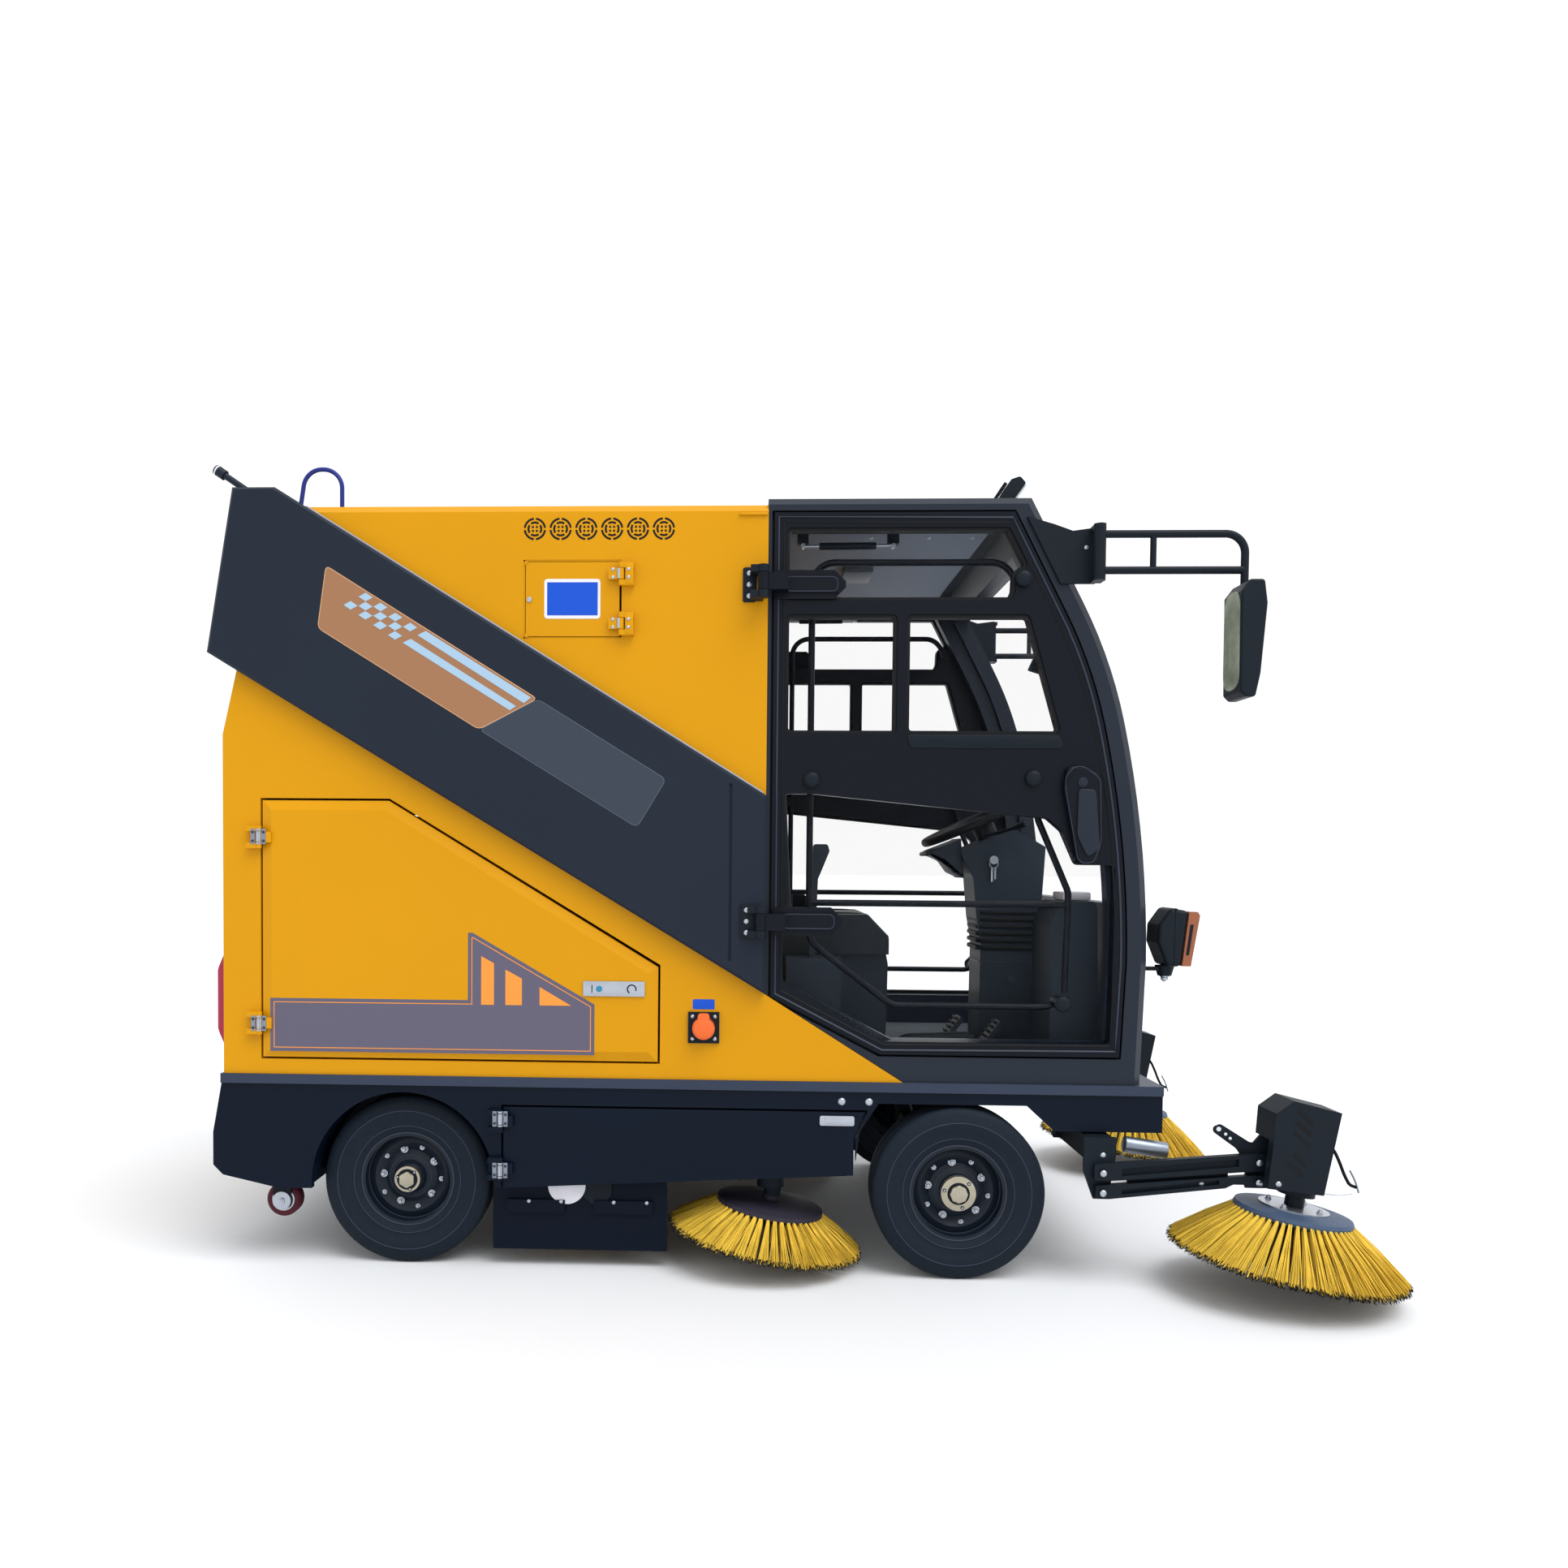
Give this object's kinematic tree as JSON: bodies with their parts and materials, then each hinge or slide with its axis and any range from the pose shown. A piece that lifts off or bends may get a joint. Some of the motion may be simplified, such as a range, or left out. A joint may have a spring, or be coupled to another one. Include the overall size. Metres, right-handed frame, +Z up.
{
  "type": "street sweeper truck",
  "caption": "Compact ride-on street sweeper truck with a glazed cab, slanted body cover, side brushes on lift arms and a full-width main brush.",
  "frame": {"origin": "On the ground, below the middle of the overall box.", "axes": "+X forward, +Y to the driver's left, +Z up"},
  "size_m": [3.1667, 1.9858, 2.1879],
  "materials": {
    "yellow_paint": "gloss",
    "slate_paint": "satin",
    "dark_parts": "satin",
    "grey_trim": "satin",
    "tyre": "matte",
    "rim_steel": "satin",
    "axle_iron": "matte",
    "bristle": "matte",
    "glass": "clear",
    "zinc_steel": "brushed",
    "roller_rubber": "matte",
    "seat_vinyl": "satin",
    "amber": "gloss",
    "red_lens": "gloss",
    "curtain_rubber": "matte",
    "wheel_grip": "matte",
    "blue_hose": "satin"
  },
  "bodies": {
    "wheel_front_right": {"tyre_front_right": "tyre", "rim_front_right": "rim_steel"},
    "wheel_rear_right": {"tyre_rear_right": "tyre", "rim_rear_right": "rim_steel"},
    "knuckle_right": {"knuckle_right": "axle_iron"},
    "cab_door_right": {"cab_door_right": "slate_paint", "door_glass_right": "glass"},
    "side_door_right": {"side_door_right": "yellow_paint"},
    "skirt_door_right": {"skirt_door_right": "dark_parts"},
    "mirror_right": {"mirror_right": "dark_parts"},
    "roller_right": {"roller_right": "roller_rubber"},
    "front_link_upper_right": {"front_link_upper_right": "zinc_steel"},
    "front_link_lower_right": {"front_link_lower_right": "zinc_steel"},
    "front_head_right": {"front_head_right": "dark_parts"},
    "front_brush_right": {"front_brush_right": "bristle"},
    "mid_head_right": {"mid_head_right": "dark_parts"},
    "mid_brush_right": {"mid_brush_right": "bristle"},
    "wheel_front_left": {"tyre_front_left": "tyre", "rim_front_left": "rim_steel"},
    "wheel_rear_left": {"tyre_rear_left": "tyre", "rim_rear_left": "rim_steel"},
    "knuckle_left": {"knuckle_left": "axle_iron"},
    "cab_door_left": {"cab_door_left": "slate_paint", "door_glass_left": "glass"},
    "side_door_left": {"side_door_left": "yellow_paint"},
    "skirt_door_left": {"skirt_door_left": "dark_parts"},
    "mirror_left": {"mirror_left": "dark_parts"},
    "roller_left": {"roller_left": "roller_rubber"},
    "front_link_upper_left": {"front_link_upper_left": "zinc_steel"},
    "front_link_lower_left": {"front_link_lower_left": "zinc_steel"},
    "front_head_left": {"front_head_left": "dark_parts"},
    "front_brush_left": {"front_brush_left": "bristle"},
    "mid_head_left": {"mid_head_left": "dark_parts"},
    "mid_brush_left": {"mid_brush_left": "bristle"},
    "steering_wheel": {"steering_wheel": "wheel_grip"},
    "water_door": {"water_door": "yellow_paint"},
    "rear_door": {"rear_door": "yellow_paint"},
    "main_brush": {"main_brush": "bristle"},
    "chassis": {"battery_block": "dark_parts", "body_shell": "yellow_paint", "brush_curtains": "curtain_rubber", "cab_controls": "dark_parts", "cab_frame": "slate_paint", "cab_hinge_plates": "zinc_steel", "deck_plate": "grey_trim", "driver_seat": "seat_vinyl", "frame_rails": "dark_parts", "front_axle": "axle_iron", "lamp_housings": "dark_parts", "lamp_lenses": "amber", "mirror_gussets": "dark_parts", "rear_axle": "axle_iron", "roof_hose": "blue_hose", "seat_box": "dark_parts", "service_ports": "dark_parts", "skirt_panels": "dark_parts", "slant_cover": "slate_paint", "steering_column": "dark_parts", "tail_lamps": "red_lens", "windscreen": "glass"}
  },
  "joints": [
    {"name": "steer_right", "type": "hinge", "parent": "chassis", "child": "knuckle_right", "pos_m": [0.451, -0.48, 0.232], "axis": [0, 0, 1], "range_deg": [-28, 28]},
    {"name": "front_wheel_right", "type": "hinge", "parent": "knuckle_right", "child": "wheel_front_right", "pos_m": [0.451, -0.595, 0.232], "axis": [0, 1, 0], "continuous": true},
    {"name": "rear_wheel_right", "type": "hinge", "parent": "chassis", "child": "wheel_rear_right", "pos_m": [-1.057, -0.545, 0.232], "axis": [0, 1, 0], "continuous": true},
    {"name": "cab_door_hinge_right", "type": "hinge", "parent": "chassis", "child": "cab_door_right", "pos_m": [-0.088, -0.702, 1.408], "axis": [0, 0, -1], "range_deg": [0, 85]},
    {"name": "side_door_hinge_right", "type": "hinge", "parent": "chassis", "child": "side_door_right", "pos_m": [-1.448, -0.664, 0.927], "axis": [0, 0, -1], "range_deg": [0, 100]},
    {"name": "skirt_door_hinge_right", "type": "hinge", "parent": "chassis", "child": "skirt_door_right", "pos_m": [-0.786, -0.664, 0.347], "axis": [0, 0, -1], "range_deg": [0, 100]},
    {"name": "mirror_fold_right", "type": "hinge", "parent": "chassis", "child": "mirror_right", "pos_m": [0.784, -0.69, 1.931], "axis": [0, 0, 1], "range_deg": [0, 60]},
    {"name": "roller_spin_right", "type": "hinge", "parent": "chassis", "child": "roller_right", "pos_m": [-1.42, -0.54, 0.158], "axis": [0, 1, 0], "continuous": true},
    {"name": "front_lift_right", "type": "hinge", "parent": "chassis", "child": "front_link_upper_right", "pos_m": [0.815, -0.7, 0.31], "axis": [0, -1, 0], "range_deg": [0, 20]},
    {"name": "front_lower_pivot_right", "type": "hinge", "parent": "chassis", "child": "front_link_lower_right", "pos_m": [0.815, -0.7, 0.258], "axis": [0, -1, 0], "range_deg": [0, 20]},
    {"name": "front_head_level_right", "type": "hinge", "parent": "front_link_upper_right", "child": "front_head_right", "pos_m": [1.216, -0.7, 0.344], "axis": [0, -1, 0], "range_deg": [-20, 0]},
    {"name": "front_brush_spin_right", "type": "hinge", "parent": "front_head_right", "child": "front_brush_right", "pos_m": [1.31178, -0.7, 0.221], "axis": [0.1392, 0, 0.9903], "continuous": true},
    {"name": "mid_lift_right", "type": "slide", "parent": "chassis", "child": "mid_head_right", "axis": [0, 0, 1], "range_m": [0, 0.05]},
    {"name": "mid_brush_spin_right", "type": "hinge", "parent": "mid_head_right", "child": "mid_brush_right", "pos_m": [-0.049, -0.52, 0.168], "axis": [0.1564, 0, 0.9877], "continuous": true},
    {"name": "steer_left", "type": "hinge", "parent": "chassis", "child": "knuckle_left", "pos_m": [0.451, 0.48, 0.232], "axis": [0, 0, 1], "range_deg": [-28, 28]},
    {"name": "front_wheel_left", "type": "hinge", "parent": "knuckle_left", "child": "wheel_front_left", "pos_m": [0.451, 0.595, 0.232], "axis": [0, 1, 0], "continuous": true},
    {"name": "rear_wheel_left", "type": "hinge", "parent": "chassis", "child": "wheel_rear_left", "pos_m": [-1.057, 0.545, 0.232], "axis": [0, 1, 0], "continuous": true},
    {"name": "cab_door_hinge_left", "type": "hinge", "parent": "chassis", "child": "cab_door_left", "pos_m": [-0.088, 0.702, 1.408], "axis": [0, 0, 1], "range_deg": [0, 85]},
    {"name": "side_door_hinge_left", "type": "hinge", "parent": "chassis", "child": "side_door_left", "pos_m": [-1.448, 0.664, 0.927], "axis": [0, 0, 1], "range_deg": [0, 100]},
    {"name": "skirt_door_hinge_left", "type": "hinge", "parent": "chassis", "child": "skirt_door_left", "pos_m": [-0.786, 0.664, 0.347], "axis": [0, 0, 1], "range_deg": [0, 100]},
    {"name": "mirror_fold_left", "type": "hinge", "parent": "chassis", "child": "mirror_left", "pos_m": [0.784, 0.69, 1.931], "axis": [0, 0, -1], "range_deg": [0, 60]},
    {"name": "roller_spin_left", "type": "hinge", "parent": "chassis", "child": "roller_left", "pos_m": [-1.42, 0.54, 0.158], "axis": [0, 1, 0], "continuous": true},
    {"name": "front_lift_left", "type": "hinge", "parent": "chassis", "child": "front_link_upper_left", "pos_m": [0.815, 0.7, 0.31], "axis": [0, -1, 0], "range_deg": [0, 20]},
    {"name": "front_lower_pivot_left", "type": "hinge", "parent": "chassis", "child": "front_link_lower_left", "pos_m": [0.815, 0.7, 0.258], "axis": [0, -1, 0], "range_deg": [0, 20]},
    {"name": "front_head_level_left", "type": "hinge", "parent": "front_link_upper_left", "child": "front_head_left", "pos_m": [1.216, 0.7, 0.344], "axis": [0, -1, 0], "range_deg": [-20, 0]},
    {"name": "front_brush_spin_left", "type": "hinge", "parent": "front_head_left", "child": "front_brush_left", "pos_m": [1.31178, 0.7, 0.221], "axis": [0.1392, 0, 0.9903], "continuous": true},
    {"name": "mid_lift_left", "type": "slide", "parent": "chassis", "child": "mid_head_left", "axis": [0, 0, 1], "range_m": [0, 0.05]},
    {"name": "mid_brush_spin_left", "type": "hinge", "parent": "mid_head_left", "child": "mid_brush_left", "pos_m": [-0.049, 0.52, 0.168], "axis": [0.1564, 0, 0.9877], "continuous": true},
    {"name": "steering_turn", "type": "hinge", "parent": "chassis", "child": "steering_wheel", "pos_m": [0.619, 0, 1.258], "axis": [-0.4067, 0, 0.9135], "range_deg": [-336, 336]},
    {"name": "water_door_hinge", "type": "hinge", "parent": "chassis", "child": "water_door", "pos_m": [-0.466, -0.664, 1.819], "axis": [0, 0, 1], "range_deg": [0, 100]},
    {"name": "rear_door_hinge", "type": "hinge", "parent": "chassis", "child": "rear_door", "pos_m": [-1.566, 0.48, 1.005], "axis": [0, 0, -1], "range_deg": [0, 100]},
    {"name": "main_brush_spin", "type": "hinge", "parent": "chassis", "child": "main_brush", "pos_m": [-0.593, 0, 0.181], "axis": [0, 1, 0], "continuous": true}
  ],
  "couplings": [
    {"joint": "steer_left", "follows": "steer_right", "ratio": 1},
    {"joint": "steering_turn", "follows": "steer_right", "ratio": 12},
    {"joint": "front_lower_pivot_right", "follows": "front_lift_right", "ratio": 1},
    {"joint": "front_head_level_right", "follows": "front_lift_right", "ratio": -1},
    {"joint": "front_lower_pivot_left", "follows": "front_lift_left", "ratio": 1},
    {"joint": "front_head_level_left", "follows": "front_lift_left", "ratio": -1}
  ]
}
